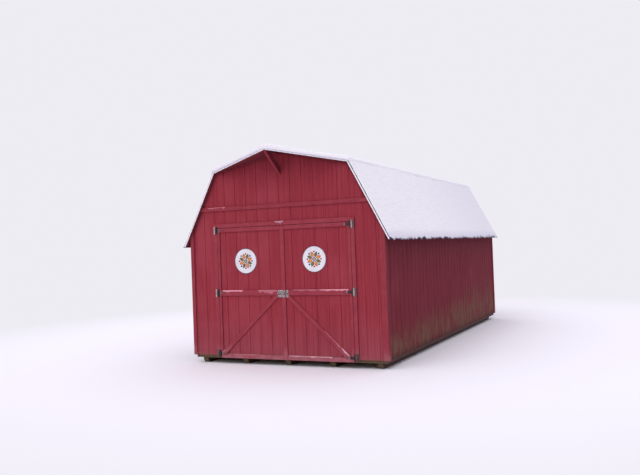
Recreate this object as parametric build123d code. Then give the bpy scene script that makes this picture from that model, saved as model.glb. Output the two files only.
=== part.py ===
from build123d import *
import math
import os

# A gambrel-roofed wooden storage shed on timber runners, 12 by 24 feet.
# Millimetres. X runs along the front wall, Y from the front to the back, Z up.
# The origin is in the middle of the bottom face of the middle runner.

# Timber and sheet sizes
stud_thickness = 38.0
stud_depth = 89.0
board_thickness = 19.0
board_width = 64.0
wide_board_width = 89.0
siding_thickness = 16.0
floor_thickness = 16.0
roof_deck_thickness = 12.0
sheet_height = 2438.0

# Plan of the building
building_width = 3440.0
building_length = 7315.0
rake_overhang = 66.0
prow_reach = 394.0

# Base
runner_size = 89.0
runner_spacing = 780.0
runners_each_side = 2
runner_end_setback = 60.0
floor_setback = 6.0
siding_drop = 44.0
joist_spacing = 406.4

# Underside of the roof deck: how far the eave tip lies outside the siding and above the ground,
# then the width and height of each slope
eave_reach = 102.0
eave_height = 1937.0
lower_run = 622.0
lower_rise = 1201.0
upper_rise = 248.0

# Walls
rafter_heel = 60.0
stud_spacing = 609.6
siding_roof_gap = 3.0
sheet_joint = 3.0
groove_pitch = 203.2
groove_width = 10.0
groove_depth = 6.0
front_groove_offset = -30.0
side_groove_offset = 0.0
groove_edge_margin = 4.0
cutter_reach = 1.0

# Trim
board_joint = 1.5
gable_trim_drop = 30.0

# Doorway and doors
opening_width = 2400.0
opening_shift = -8.0
opening_rise = 2096.0
meeting_shift = 48.0
door_gap = 8.0
door_drop = 36.0
bottom_rail_width = 69.0
stile_width = 44.0
mid_rail_rise = 1062.0
left_brace_foot = 50.0
left_brace_head = 145.0
right_brace_foot = 38.0
right_brace_head = 18.0
frame_inset = 12.0
frame_floor_gap = 10.0
header_height = 140.0

# Strap hinges
hinge_plate_height = 124.0
hinge_plate_width = 55.0
hinge_steel = 3.0
knuckle_radius = 9.0
pin_radius = 5.0
pin_clearance = 0.2
knuckle_gap = 0.5
knuckle_height = 50.0
strap_length = 150.0
strap_root_height = 50.0
strap_tip_height = 20.0
hinge_end_margin = 4.0

# Slide latch
latch_height = 115.0
latch_drop = 16.0
bolt_plate_width = 128.0
keeper_plate_width = 42.0
latch_plate = 3.0
bolt_radius = 7.0
latch_loop_radius = 14.0
latch_loop_length = 16.0
latch_loop_margin = 6.0
latch_edge_margin = 4.0
bolt_knob_radius = 6.0
bolt_knob_height = 28.0

# Round signs
disc_radius = 203.0
disc_thickness = 6.0
disc_rise = 1577.0
left_disc_inset = 524.0
right_disc_inset = 626.0

# Roof covering and metal edges
shingle_exposure = 143.0
shingle_butt = 9.0
shingle_top = 6.0
shingle_overhang = 14.0
ridge_cap_reach = 125.0
ridge_cap_thickness = 5.0
drip_thickness = 1.5
drip_lip = 10.0
ridge_gap = 3.0
rafter_spacing = 609.6
gusset_reach = 170.0

# Ridge board, its end under the prow and the brace below it
ridge_board_height = 140.0
prow_beam_height = 38.0
prow_beam_setback = 20.0
brace_foot_drop = 359.0

# Sizes that follow
half_width = building_width / 2
inner_half = half_width - siding_thickness
front = -building_length / 2
back = building_length / 2
inner_front = front + siding_thickness
inner_back = back - siding_thickness
roof_front = front - rake_overhang
roof_back = back + rake_overhang
prow_tip = roof_front - prow_reach
frame_bottom = runner_size
frame_top = frame_bottom + stud_depth
floor_top = frame_top + floor_thickness
siding_bottom = frame_top - siding_drop
sheet_top = siding_bottom + sheet_height
eave_half_width = half_width + eave_reach
break_half_width = eave_half_width - lower_run
break_height = eave_height + lower_rise
ridge_height = break_height + upper_rise
lower_slope = math.atan2(lower_rise, lower_run)
upper_slope = math.atan2(upper_rise, break_half_width)
opening_left = opening_shift - opening_width / 2
opening_right = opening_shift + opening_width / 2
opening_top = siding_bottom + opening_rise
meeting_x = opening_shift + meeting_shift
door_bottom = siding_bottom - door_drop
door_top = opening_top - door_gap
hinge_axis_y = front - board_thickness - knuckle_radius


def block(x0, x1, y0, y1, z0, z1):
    """A plain block between two corners."""
    middle = Pos((x0 + x1) / 2, (y0 + y1) / 2, (z0 + z1) / 2)
    return middle * Box(x1 - x0, y1 - y0, z1 - z0)


def prism_y(points, y0, y1):
    """An outline of (x, z) points carried from y0 to y1."""
    outline = Polyline(*[(x, y0, z) for x, z in points], close=True)
    return extrude(make_face(outline), amount=y1 - y0, dir=(0, 1, 0))


def prism_z(points, z0, z1):
    """An outline of (x, y) points carried from z0 to z1."""
    outline = Polyline(*[(x, y, z0) for x, y in points], close=True)
    return extrude(make_face(outline), amount=z1 - z0, dir=(0, 0, 1))


def side_prism(points, x0, x1):
    """An outline of (y, z) points carried from x0 to x1."""
    outline = Polyline(*[(x0, y, z) for y, z in points], close=True)
    return extrude(make_face(outline), amount=x1 - x0, dir=(1, 0, 0))


def mirrored(shape):
    """The same shape on the other side of the building."""
    return mirror(shape, about=Plane.YZ)


def both_sides(shapes):
    """Each shape and its mirror image."""
    return list(shapes) + [mirrored(s) for s in shapes]


def export(name, shapes):
    """One node: a single solid, or like solids that don't touch."""
    solids = [s for shape in shapes for s in shape.solids()]
    piece = solids[0] if len(solids) == 1 else Compound(children=solids)
    export_step(piece, f"parts/{name}.step")


def spaced(first, last, pitch):
    """Positions from first to last, both ends included, no more than pitch apart."""
    bays = math.ceil((last - first) / pitch)
    return [first + (last - first) * i / bays for i in range(bays + 1)]


# Roof lines

def roof_x(z, inward=0.0):
    """Half width of the lower slope at a height, set in square to the slope."""
    run = (z - eave_height) / math.tan(lower_slope)
    return eave_half_width - run - inward / math.sin(lower_slope)


def roof_z(x, inward=0.0):
    """Height of the roof line over x, set in square to the slope."""
    lower = eave_height + (eave_half_width - abs(x)) * math.tan(lower_slope)
    upper = ridge_height - abs(x) * math.tan(upper_slope)
    return min(lower - inward / math.cos(lower_slope), upper - inward / math.cos(upper_slope))


def break_point(outward):
    """The corner between the two slopes, moved out square to both."""
    lower = (math.sin(lower_slope), math.cos(lower_slope))
    upper = (math.sin(upper_slope), math.cos(upper_slope))
    share = outward / (1 + lower[0] * upper[0] + lower[1] * upper[1])
    return (break_half_width + share * (lower[0] + upper[0]),
            break_height + share * (lower[1] + upper[1]))


def eave_point(outward, along=0.0):
    """A point over the eave tip, moved out from the slope and up along it."""
    return (eave_half_width + outward * math.sin(lower_slope) - along * math.cos(lower_slope),
            eave_height + outward * math.cos(lower_slope) + along * math.sin(lower_slope))


def upper_point(x, outward):
    """A point over x on a line moved out from the upper slope."""
    return (x, ridge_height - x * math.tan(upper_slope) + outward / math.cos(upper_slope))


def gambrel_outline(z0, z1, inward, half_limit):
    """The part of the building's cross-section between two heights."""
    points = [(min(roof_x(z0, inward), half_limit), z0)]
    shoulder = roof_z(half_limit, inward)
    if z0 < shoulder < z1:
        points.append((half_limit, shoulder))
    corner = break_point(-inward)
    if z1 > corner[1]:
        points.append(corner)
        points.append((0.0, roof_z(0.0, inward)))
    else:
        points.append((min(roof_x(z1, inward), half_limit), z1))
    left = [(-x, z) for x, z in reversed(points) if x > 0]
    return points + left


# Siding

def lattice(first, start, end):
    """Groove positions of one lattice that lie clear of both edges of a sheet."""
    clear = groove_width / 2 + groove_edge_margin
    low = math.ceil((start + clear - first) / groove_pitch)
    high = math.ceil((end - clear - first) / groove_pitch)
    return [first + n * groove_pitch for n in range(low, high)]


def siding_sheet(u0, u1, z0, z1, first):
    """A grooved sheet that faces -Y at y = 0, with its thickness behind."""
    points = [(u0, 0.0)]
    for u in lattice(first, u0, u1):
        points += [(u - groove_width / 2, 0.0), (u - groove_width / 2, groove_depth),
                   (u + groove_width / 2, groove_depth), (u + groove_width / 2, 0.0)]
    points += [(u1, 0.0), (u1, siding_thickness), (u0, siding_thickness)]
    return prism_z(points, z0, z1)


def front_sheet(x0, x1, z0, z1):
    return Pos(0, front, 0) * siding_sheet(x0, x1, z0, z1, front_groove_offset)


def end_cut(z0=siding_bottom, z1=sheet_top):
    """The outline that end-wall sheets are cut to, a little deeper than the sheets."""
    outline = gambrel_outline(z0, z1, siding_roof_gap, half_width)
    return prism_y(outline, front - cutter_reach, inner_front + cutter_reach)


def to_back(shape):
    """Something made on the front wall, turned round to the back wall."""
    return Rot(0, 0, 180) * shape


# Base

def runners():
    slant = runner_size / 2
    start, end = front + runner_end_setback, back - runner_end_setback
    side = [(start + slant, 0), (end - slant, 0), (end, slant), (end, runner_size),
            (start, runner_size), (start, slant)]
    runner = side_prism(side, -runner_size / 2, runner_size / 2)
    count = range(-runners_each_side, runners_each_side + 1)
    return [Pos(n * runner_spacing, 0, 0) * runner for n in count]


floor_front = inner_front + floor_setback
floor_back = inner_back


def rim_joists():
    return both_sides([block(inner_half - stud_thickness, inner_half, floor_front, floor_back,
                             frame_bottom, frame_top)])


def floor_joists():
    half = inner_half - stud_thickness
    places = spaced(floor_front, floor_back - stud_thickness, joist_spacing)
    return [block(-half, half, y, y + stud_thickness, frame_bottom, frame_top) for y in places]


def floor_deck():
    return [block(-inner_half, inner_half, floor_front, floor_back, frame_top, floor_top)]


# Wall sheets

def side_wall():
    """The right wall, standing behind the end walls' edges."""
    top = roof_z(half_width, siding_roof_gap)
    sheet = siding_sheet(inner_front, inner_back, siding_bottom, top, front + side_groove_offset)
    return Pos(half_width, 0, 0) * Rot(0, 0, 90) * sheet


def back_wall():
    sheet = front_sheet(-half_width, half_width, siding_bottom, sheet_top) & end_cut()
    return to_back(sheet)


def gable():
    low = sheet_top + sheet_joint
    half = roof_x(low, siding_roof_gap)
    return front_sheet(-half, half, low, ridge_height) & end_cut(z0=low, z1=ridge_height)


def front_gable():
    """The front gable, notched round the beam that runs out to the prow."""
    half = stud_thickness / 2 + board_joint
    low = ridge_board_top - prow_beam_height - board_joint
    notch = block(-half, half, front - cutter_reach, inner_front + cutter_reach, low, ridge_height)
    return gable() - notch


# Framing

plate_top = roof_z(inner_half) - rafter_heel
plate_low = floor_top + stud_thickness
tie_low = sheet_top - stud_thickness / 2
tie_high = sheet_top + stud_thickness / 2
plate_inner = inner_half - stud_depth


def side_wall_studs():
    places = spaced(inner_front, inner_back - stud_thickness, stud_spacing)
    studs = [block(plate_inner, inner_half, y, y + stud_thickness, plate_low,
                   plate_top - stud_thickness) for y in places]
    return both_sides(studs)


def end_tie():
    outline = gambrel_outline(tie_low, tie_high, stud_depth, half_width)
    return prism_y(outline, inner_front, inner_front + stud_depth)


def wall_plates():
    side = [block(plate_inner, inner_half, inner_front, inner_back, floor_top, plate_low),
            block(plate_inner, inner_half, inner_front, inner_back, plate_top - stud_thickness, plate_top)]
    inner = plate_inner - board_joint
    depth = inner_front + stud_depth
    front_left = block(-inner, opening_left, inner_front, depth, floor_top, plate_low)
    front_right = block(opening_right, inner, inner_front, depth, floor_top, plate_low)
    rear = to_back(block(-inner, inner, inner_front, depth, floor_top, plate_low))
    return both_sides(side) + [front_left, front_right, rear, end_tie(), to_back(end_tie())]


def gable_studs():
    """Short studs on the tie, under the end rafters."""
    studs = []
    for x in (-stud_spacing, 0.0, stud_spacing):
        low, high = x - stud_thickness / 2, x + stud_thickness / 2
        if x == 0.0:
            top = roof_z(stud_thickness / 2) - ridge_board_height
        else:
            top = min(roof_z(low, stud_depth), roof_z(high, stud_depth))
        studs.append(block(low, high, inner_front, inner_front + stud_thickness, tie_high, top))
    return studs


def end_wall_stud(x):
    """A stud of an end wall, as tall as the tie or the end rafter over it allows."""
    low, high = x - stud_thickness / 2, x + stud_thickness / 2
    top = min(tie_low, roof_z(low, stud_depth), roof_z(high, stud_depth))
    return block(low, high, inner_front, inner_front + stud_depth, plate_low, top)


def end_wall_studs():
    corner = plate_inner - board_joint - stud_thickness / 2
    jambs = [opening_left - stud_thickness / 2, opening_right + stud_thickness / 2]
    near = [end_wall_stud(x) for x in [-corner] + jambs + [corner]]
    rear = [to_back(end_wall_stud(x)) for x in spaced(-corner, corner, stud_spacing)]
    upper = gable_studs()
    return near + rear + upper + [to_back(s) for s in upper]


def door_header():
    return [block(opening_left, opening_right, inner_front, inner_front + stud_depth,
                  opening_top, opening_top + header_height)]


def rafter_places():
    return spaced(inner_front, inner_back - stud_thickness, rafter_spacing)


def lower_rafters():
    seat = roof_x(plate_top, stud_depth)
    outline = [(seat, plate_top), (inner_half, plate_top), (inner_half, roof_z(inner_half)),
               break_point(0), break_point(-stud_depth)]
    rafters = [prism_y(outline, y, y + stud_thickness) for y in rafter_places()]
    return both_sides(rafters)


def upper_rafters():
    half = stud_thickness / 2
    outline = [break_point(0), upper_point(half, 0), upper_point(half, -stud_depth),
               break_point(-stud_depth)]
    rafters = [prism_y(outline, y, y + stud_thickness) for y in rafter_places()]
    return both_sides(rafters)


def rafter_gussets():
    """Plywood plates that tie each pair of rafters at the break."""
    low = break_point(-stud_depth)
    outline = [break_point(0),
               (break_half_width - gusset_reach * math.cos(upper_slope),
                break_height + gusset_reach * math.sin(upper_slope)),
               (low[0] - gusset_reach * math.cos(upper_slope), low[1] + gusset_reach * math.sin(upper_slope)),
               (low[0] + gusset_reach * math.cos(lower_slope), low[1] - gusset_reach * math.sin(lower_slope)),
               (break_half_width + gusset_reach * math.cos(lower_slope),
                break_height - gusset_reach * math.sin(lower_slope))]
    plates = []
    for y in rafter_places()[:-1]:
        near = y + stud_thickness
        plates.append(prism_y(outline, near, near + roof_deck_thickness))
    return both_sides(plates)


ridge_board_top = roof_z(stud_thickness / 2)
ridge_board_front = prow_tip + prow_beam_setback


def ridge_board():
    """The ridge board, cut down to a slim beam where it runs out to the prow."""
    low, slim = ridge_board_top - ridge_board_height, ridge_board_top - prow_beam_height
    side = [(inner_back, low), (inner_back, ridge_board_top), (ridge_board_front, ridge_board_top),
            (ridge_board_front, slim), (inner_front, slim), (inner_front, low)]
    return [side_prism(side, -stud_thickness / 2, stud_thickness / 2)]


def prow_brace():
    """The slanted brace from under the prow beam's end back to the wall."""
    top = ridge_board_top - prow_beam_height
    foot = ridge_board_top - brace_foot_drop
    slant = math.atan2(top - foot, front - ridge_board_front)
    side = [(front, foot), (front, foot + stud_depth / math.cos(slant)),
            (ridge_board_front + stud_depth / math.sin(slant), top), (ridge_board_front, top)]
    return [side_prism(side, -stud_thickness / 2, stud_thickness / 2)]


# Roof

def lower_slab(inside, outside):
    """The right lower slope between two distances out from the roof line."""
    outline = [eave_point(inside), break_point(inside), break_point(outside), eave_point(outside)]
    return prism_y(outline, roof_front, roof_back)


def prow_plan(edge, inner_x=ridge_gap / 2):
    """Plan of the right upper slope, moved forward of its front edge."""
    corner = break_half_width + stud_depth
    slope = prow_reach / break_half_width
    tip = prow_tip - edge
    return [(inner_x, tip + inner_x * slope), (break_half_width, roof_front - edge),
            (corner, roof_front - edge), (corner, roof_back), (inner_x, roof_back)]


def upper_profile(inside, outside, y0, y1):
    outline = [break_point(inside), upper_point(0, inside), upper_point(0, outside), break_point(outside)]
    return prism_y(outline, y0, y1)


def upper_slab(inside, outside, edge=0.0):
    """The right upper slope with its pointed front end."""
    deep = upper_profile(inside, outside, prow_tip - edge, roof_back)
    return deep & prism_z(prow_plan(edge), break_height - stud_depth, ridge_height + stud_depth)


def lower_roof_deck():
    return both_sides([lower_slab(0, roof_deck_thickness)])


def upper_roof_deck():
    return both_sides([upper_slab(0, roof_deck_thickness)])


def lower_shingles():
    """Courses that step down towards the eave."""
    base = roof_deck_thickness
    length = math.hypot(lower_run, lower_rise)
    courses = round(length / shingle_exposure)
    step = length / courses
    points = [break_point(base), eave_point(base, -shingle_overhang)]
    for n in range(courses):
        start = n * step - (shingle_overhang if n == 0 else 0)
        points.append(eave_point(base + shingle_butt, start))
        if n < courses - 1:
            points.append(eave_point(base + shingle_top, (n + 1) * step))
    points.append(break_point(base + shingle_top))
    edge = shingle_overhang / 2
    return both_sides([prism_y(points, roof_front - edge, roof_back + edge)])


def upper_shingles():
    """Courses on the flatter slope, the first one lapping over the break."""
    base = roof_deck_thickness
    down = (math.cos(upper_slope), -math.sin(upper_slope))
    normal = (math.sin(upper_slope), math.cos(upper_slope))
    length = math.hypot(break_half_width, upper_rise)
    courses = round(length / shingle_exposure)
    step = length / courses

    def place(start, along, out):
        return (start[0] - along * down[0] + out * normal[0], start[1] - along * down[1] + out * normal[1])

    seat = break_point(base)
    lap = break_point(base + shingle_top)
    thickness = shingle_butt - shingle_top
    points = [seat, lap, place(lap, -shingle_overhang, 0), place(lap, -shingle_overhang, thickness)]
    for n in range(1, courses):
        points.append(place(seat, n * step, shingle_top))
        points.append(place(seat, n * step, shingle_butt))
    points += [upper_point(0, base + shingle_butt), upper_point(0, base)]
    edge = shingle_overhang / 2
    deep = prism_y(points, prow_tip - edge, roof_back + edge)
    plan = prow_plan(edge)
    plan = [(x, y + edge if y == roof_back else y) for x, y in plan]
    return both_sides([deep & prism_z(plan, break_height - stud_depth, ridge_height + stud_depth)])


def ridge_cap():
    """Folded shingles over the ridge, on the last course of each side."""
    low = roof_deck_thickness + shingle_butt
    high = low + ridge_cap_thickness
    reach = ridge_cap_reach
    outline = [upper_point(reach, low), upper_point(0, low), (-reach, upper_point(reach, low)[1]),
               (-reach, upper_point(reach, high)[1]), upper_point(0, high), upper_point(reach, high)]
    edge = shingle_overhang / 2
    slope = prow_reach / break_half_width
    tip = prow_tip - edge
    plan = [(0, tip), (reach, tip + reach * slope), (reach, roof_back + edge),
            (-reach, roof_back + edge), (-reach, tip + reach * slope)]
    return [prism_y(outline, tip, roof_back + edge) & prism_z(plan, break_height, ridge_height + stud_depth)]


def rake_strip(inside, outside, y0, y1):
    """The lower part of a metal edge, in front of the deck's end."""
    outline = [eave_point(inside), break_point(inside), break_point(outside), eave_point(outside)]
    return prism_y(outline, y0, y1)


def front_drip_edge():
    """White metal along the front rakes and round the prow."""
    low = rake_strip(-drip_lip, roof_deck_thickness, roof_front - drip_thickness, roof_front)
    slope = prow_reach / break_half_width
    corner = break_half_width + stud_depth
    inner = ridge_gap / 2
    plan = [(inner, prow_tip + inner * slope), (break_half_width, roof_front), (corner, roof_front),
            (corner, roof_front - drip_thickness), (break_half_width, roof_front - drip_thickness),
            (inner, prow_tip - drip_thickness + inner * slope)]
    deep = upper_profile(-drip_lip, roof_deck_thickness, prow_tip - drip_thickness, roof_front)
    high = deep & prism_z(plan, break_height - stud_depth, ridge_height + stud_depth)
    return both_sides([low + high])


def back_drip_edge():
    low = rake_strip(-drip_lip, roof_deck_thickness, roof_back, roof_back + drip_thickness)
    outline = [break_point(-drip_lip), upper_point(ridge_gap / 2, -drip_lip),
               upper_point(ridge_gap / 2, roof_deck_thickness), break_point(roof_deck_thickness)]
    high = prism_y(outline, roof_back, roof_back + drip_thickness)
    return both_sides([low + high])


# Trim

def corner_boards():
    outer = half_width + board_thickness
    ends = []
    for width in (board_width, wide_board_width):
        inner = outer - width
        outline = [(inner, siding_bottom), (outer, siding_bottom), (outer, roof_z(outer, siding_roof_gap)),
                   (inner, roof_z(inner, siding_roof_gap))]
        ends.append(prism_y(outline, front - board_thickness, front))
    side_top = roof_z(outer, siding_roof_gap)
    side = block(half_width, outer, front + board_joint, front + board_width, siding_bottom, side_top)
    boards = [mirrored(ends[0]), ends[1]] + both_sides([side])
    return boards + [to_back(b) for b in boards]


def doorway_trim():
    """Side boards as long as the doors and a board over them."""
    near, far = front - board_thickness, front
    top = opening_top - board_joint
    left = block(opening_left - board_width, opening_left, near, far, door_bottom, top)
    right = block(opening_right, opening_right + board_width, near, far, door_bottom, top)
    over = block(opening_left - board_width, opening_right + board_width, near, far, opening_top,
                 opening_top + board_width)
    return [left, right, over]


def gable_trim():
    low = sheet_top - board_width / 2 - gable_trim_drop
    outline = gambrel_outline(low, low + board_width, siding_roof_gap, half_width)
    board = prism_y(outline, front - board_thickness, front)
    return [board, to_back(board)]


# Doors: each is drawn between its hinge edge and its meeting edge

left_edges = (opening_left + door_gap, meeting_x - door_gap / 2)
right_edges = (meeting_x + door_gap / 2, opening_right - door_gap)
mid_rail_middle = door_bottom + mid_rail_rise
mid_rail_low = mid_rail_middle - wide_board_width / 2
mid_rail_high = mid_rail_middle + wide_board_width / 2
bottom_rail_high = door_bottom + bottom_rail_width
top_rail_low = door_top - board_width


def door_panel(edges):
    return [front_sheet(edges[0], edges[1], door_bottom, door_top)]


def door_frame(edges):
    """Two stiles and three rails behind the panel, above the floor."""
    near = inner_front
    far = near + stud_thickness
    low, high = floor_top + frame_floor_gap, door_top - frame_inset
    x0, x1 = edges[0] + frame_inset, edges[1] - frame_inset
    stiles = [block(x0, x0 + stud_depth, near, far, low, high),
              block(x1 - stud_depth, x1, near, far, low, high)]
    inner0, inner1 = x0 + stud_depth + board_joint, x1 - stud_depth - board_joint
    levels = [(low, low + stud_depth), (mid_rail_low, mid_rail_high), (high - stud_depth, high)]
    rails = [block(inner0, inner1, near, far, z0, z1) for z0, z1 in levels]
    return stiles + rails


def door_brace(foot_x, head_x, x_low, x_high):
    """A board from near the hinge-side bottom corner up to the middle rail."""
    foot = Vector(foot_x, bottom_rail_high)
    head = Vector(head_x, mid_rail_low)
    along = (head - foot).normalized()
    across = Vector(-along.Y, along.X) * (board_width / 2)
    start, end = foot - along * board_width, head + along * board_width
    corners = [start + across, end + across, end - across, start - across]
    near, far = front - board_thickness, front
    strip = prism_y([(p.X, p.Y) for p in corners], near, far)
    field = block(x_low, x_high, near, far, bottom_rail_high + board_joint, mid_rail_low - board_joint)
    return strip & field


def upright_board(x0, x1):
    return block(x0, x1, front - board_thickness, front, door_bottom, door_top)


def door_rails(x0, x1):
    """The top, middle and bottom boards between the uprights."""
    levels = [(top_rail_low, door_top), (mid_rail_low, mid_rail_high), (door_bottom, bottom_rail_high)]
    return [block(x0, x1, front - board_thickness, front, low, high) for low, high in levels]


def left_door_trim():
    """A narrow hinge stile, a wide board on the meeting edge, three rails and a brace."""
    x0, x1 = left_edges
    stile, post = x0 + stile_width, x1 - board_width
    start, end = stile + board_joint, post - board_joint
    brace = door_brace(x0 + left_brace_foot, x1 - left_brace_head, start, end)
    return door_rails(start, end) + [upright_board(x0, stile), upright_board(post, x1), brace]


def right_door_trim():
    """A narrow hinge stile, three rails and a brace; its meeting edge has no board."""
    x0, x1 = right_edges
    stile = x1 - stile_width
    end = stile - board_joint
    brace = door_brace(x1 - right_brace_foot, x0 + right_brace_head, x0, end)
    return door_rails(x0, end) + [upright_board(stile, x1), brace]


def sign_disc(x):
    disc = Cylinder(disc_radius, disc_thickness)
    return [Pos(x, front - disc_thickness / 2, door_bottom + disc_rise) * Rot(90, 0, 0) * disc]


# Hinges: drawn at the origin with the pin on Z, the plate towards -X

hinge_heights = (door_bottom + hinge_plate_height / 2 + hinge_end_margin, mid_rail_middle,
                 (top_rail_low + door_top) / 2)
board_face = knuckle_radius


def hinge_plate():
    """The plate on the post, its two knuckles and the pin they hold."""
    half = hinge_plate_height / 2
    mid = knuckle_height / 2
    edge = knuckle_radius + knuckle_gap
    plate = block(-edge - hinge_plate_width, -edge, board_face - hinge_steel, board_face, -half, half)
    pin = Cylinder(pin_radius, 2 * half)
    piece = plate + pin
    for end in (-1, 1):
        low, high = sorted((end * (mid + knuckle_gap), end * half))
        knuckle = Pos(0, 0, (low + high) / 2) * Cylinder(knuckle_radius, high - low)
        web = block(-edge, 0, board_face - hinge_steel, board_face, low, high)
        piece = piece + knuckle + web
    return piece


def hinge_strap():
    """The tapered strap on the door and its knuckle round the pin."""
    root, tip = strap_root_height / 2, strap_tip_height / 2
    outline = [(0.0, -root), (strap_length, -tip), (strap_length + tip, 0.0), (strap_length, tip), (0.0, root)]
    blade = prism_y(outline, board_face - hinge_steel, board_face)
    knuckle = Cylinder(knuckle_radius, knuckle_height)
    bore = Cylinder(pin_radius + pin_clearance, 2 * knuckle_height)
    return blade + knuckle - bore


def hinge_copies(shape, left):
    """The three hinges of one door, mirrored for the right door."""
    x = left_edges[0] - door_gap / 2 if left else right_edges[1] + door_gap / 2
    turned = shape if left else mirrored(shape)
    return [Pos(x, hinge_axis_y, z) * turned for z in hinge_heights]


# Latch: a slide bolt drawn back on the left door and its keeper on the right door

def latch_loop(x):
    """A steel loop round the bolt, standing on a plate."""
    ring = Rot(0, 90, 0) * Cylinder(latch_loop_radius, latch_loop_length)
    foot = block(-latch_loop_length / 2, latch_loop_length / 2, 0, latch_loop_radius,
                 -latch_loop_radius, latch_loop_radius)
    hole = Rot(0, 90, 0) * Cylinder(bolt_radius + pin_clearance, 2 * latch_loop_length)
    return Pos(x, 0, 0) * (ring + foot - hole)


latch_y = front - board_thickness - latch_plate - latch_loop_radius
latch_middle = mid_rail_middle - latch_drop


def latch_plate_block(x0, x1):
    half = latch_height / 2
    near = front - board_thickness - latch_plate
    return block(x0, x1, near, front - board_thickness, latch_middle - half, latch_middle + half)


def latch_bolt():
    """A plate with two loops, and in them the drawn bolt with its knob."""
    x1 = left_edges[1] - latch_edge_margin
    x0 = x1 - bolt_plate_width
    at = Pos(0, latch_y, latch_middle)
    margin = latch_loop_length / 2 + latch_loop_margin
    near, far = x0 + margin, x1 - margin
    plate = latch_plate_block(x0, x1) + at * latch_loop(near) + at * latch_loop(far)
    rod = Pos((x0 + x1) / 2, 0, 0) * Rot(0, 90, 0) * Cylinder(bolt_radius, x1 - x0)
    knob = Pos((near + far) / 2, -bolt_knob_height / 2, 0) * Rot(90, 0, 0) \
        * Cylinder(bolt_knob_radius, bolt_knob_height)
    return [plate, at * (rod + knob)]


def latch_keeper():
    x0 = right_edges[0] + latch_edge_margin
    x1 = x0 + keeper_plate_width
    margin = latch_loop_length / 2 + latch_loop_margin
    return [latch_plate_block(x0, x1) + Pos(0, latch_y, latch_middle) * latch_loop(x0 + margin)]


nodes = {
    "runners": runners(),
    "rim_joists": rim_joists(),
    "floor_joists": floor_joists(),
    "floor_deck": floor_deck(),
    "left_wall": [mirrored(side_wall())],
    "right_wall": [side_wall()],
    "back_wall": [back_wall()],
    "back_gable": [to_back(gable())],
    "front_wall_left": [front_sheet(-half_width, opening_left, siding_bottom, sheet_top) & end_cut()],
    "front_wall_right": [front_sheet(opening_right, half_width, siding_bottom, sheet_top) & end_cut()],
    "front_wall_over_doors": [front_sheet(opening_left, opening_right, opening_top, sheet_top)],
    "front_gable": [front_gable()],
    "side_wall_studs": side_wall_studs(),
    "wall_plates": wall_plates(),
    "end_wall_studs": end_wall_studs(),
    "door_header": door_header(),
    "lower_rafters": lower_rafters(),
    "upper_rafters": upper_rafters(),
    "rafter_gussets": rafter_gussets(),
    "ridge_board": ridge_board(),
    "prow_brace": prow_brace(),
    "lower_roof_deck": lower_roof_deck(),
    "upper_roof_deck": upper_roof_deck(),
    "lower_shingles": lower_shingles(),
    "upper_shingles": upper_shingles(),
    "ridge_cap": ridge_cap(),
    "front_drip_edge": front_drip_edge(),
    "back_drip_edge": back_drip_edge(),
    "corner_boards": corner_boards(),
    "doorway_trim": doorway_trim(),
    "gable_trim": gable_trim(),
    "hinge_plates": hinge_copies(hinge_plate(), True) + hinge_copies(hinge_plate(), False),
    "left_door_panel": door_panel(left_edges),
    "left_door_frame": door_frame(left_edges),
    "left_door_trim": left_door_trim(),
    "left_door_straps": hinge_copies(hinge_strap(), True),
    "left_door_sign": sign_disc(left_edges[0] + left_disc_inset),
    "latch_bolt": latch_bolt(),
    "right_door_panel": door_panel(right_edges),
    "right_door_frame": door_frame(right_edges),
    "right_door_trim": right_door_trim(),
    "right_door_straps": hinge_copies(hinge_strap(), False),
    "right_door_sign": sign_disc(right_edges[1] - right_disc_inset),
    "latch_keeper": latch_keeper(),
}

os.makedirs("parts", exist_ok=True)
for name, shapes in nodes.items():
    export(name, shapes)
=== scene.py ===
import math

import bmesh
import bpy
from mathutils import Matrix, Vector, noise


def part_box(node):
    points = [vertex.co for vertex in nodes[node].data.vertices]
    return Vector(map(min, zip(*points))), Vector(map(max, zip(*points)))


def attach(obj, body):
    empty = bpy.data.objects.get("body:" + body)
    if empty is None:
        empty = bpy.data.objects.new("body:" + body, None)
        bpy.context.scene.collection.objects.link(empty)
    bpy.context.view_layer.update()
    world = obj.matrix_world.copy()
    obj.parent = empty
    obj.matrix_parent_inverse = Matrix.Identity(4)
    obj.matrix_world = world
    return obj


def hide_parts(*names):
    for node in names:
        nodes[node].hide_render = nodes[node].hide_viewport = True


# A red gambrel-roofed storage shed with snow on its roof and on the ledges of its doors.
# Everything is in metres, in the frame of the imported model: front wall towards -Y, +Z up.

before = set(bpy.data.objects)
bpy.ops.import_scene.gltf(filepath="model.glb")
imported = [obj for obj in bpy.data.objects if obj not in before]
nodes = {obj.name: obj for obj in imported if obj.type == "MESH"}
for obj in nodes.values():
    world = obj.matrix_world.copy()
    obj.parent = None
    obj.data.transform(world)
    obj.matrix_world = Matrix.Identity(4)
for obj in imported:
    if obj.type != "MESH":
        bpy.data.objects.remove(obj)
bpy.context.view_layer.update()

MM = 0.001
# corners closer than this are one
WELD = 0.02 * MM

# Roof lines: the underside of the deck at the eave, at the break and at the ridge
EAVE_X, EAVE_Z = 1.822, 1.937
BREAK_X, BREAK_Z = 1.200, 3.138
RIDGE_Z = 3.386
DECK = 12 * MM
SHINGLE_BUTT = 9 * MM
SHINGLE_TOP = 6 * MM
LOWER_COURSES = 9
UPPER_COURSES = 9
ROOF_END = 3.7235
PROW_REACH = 0.394
LOWER_SLOPE = math.atan2(BREAK_Z - EAVE_Z, EAVE_X - BREAK_X)
UPPER_SLOPE = math.atan2(RIDGE_Z - BREAK_Z, BREAK_X)
LOWER_LENGTH = math.hypot(EAVE_X - BREAK_X, BREAK_Z - EAVE_Z)
UPPER_LENGTH = math.hypot(BREAK_X, RIDGE_Z - BREAK_Z)

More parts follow.
